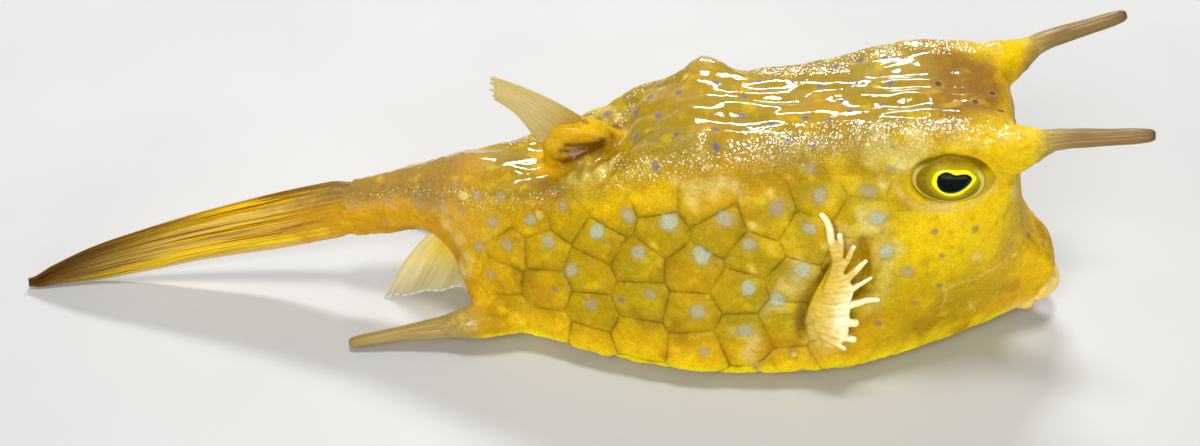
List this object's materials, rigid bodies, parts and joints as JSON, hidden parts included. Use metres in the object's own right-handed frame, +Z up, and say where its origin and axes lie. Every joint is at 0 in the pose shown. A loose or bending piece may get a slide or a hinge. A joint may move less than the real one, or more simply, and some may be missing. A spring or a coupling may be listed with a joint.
{
  "type": "longhorn cowfish model",
  "caption": "Life-size longhorn cowfish with plated body, forward horns and rear spines, lying on its belly with its long tail fin on the floor.",
  "frame": {"origin": "on the floor under the middle of the whole fish's length, on the body's midline", "axes": "+X along the body towards the snout, +Y towards the fish's left, +Z up"},
  "size_m": [0.1458, 0.0386, 0.0407],
  "materials": {
    "skin": "wet golden yellow skin with fine olive mottling and pale blue-grey spots",
    "tail_skin": "wet amber skin with lavender spots",
    "tail_fin": "golden brown rays, nearly black at the tip",
    "fin": "pale cream, slightly see-through rays and membrane",
    "horn": "smooth tan horn, yellow at the root",
    "eye": "wet eye with dark pupil and yellow rim",
    "lip": "smooth pale orange lip"
  },
  "bodies": {
    "root": {"head": "skin", "carapace": "skin", "tail_peduncle": "tail_skin", "caudal_fin": "tail_fin", "dorsal_fin": "fin", "anal_fin": "fin", "pectoral_fin_left": "fin", "pectoral_fin_right": "fin", "horn_left": "horn", "horn_right": "horn", "ventral_spine_left": "horn", "ventral_spine_right": "horn", "eye_left": "eye", "eye_right": "eye", "upper_lip": "lip", "lower_lip": "lip"}
  },
  "joints": []
}
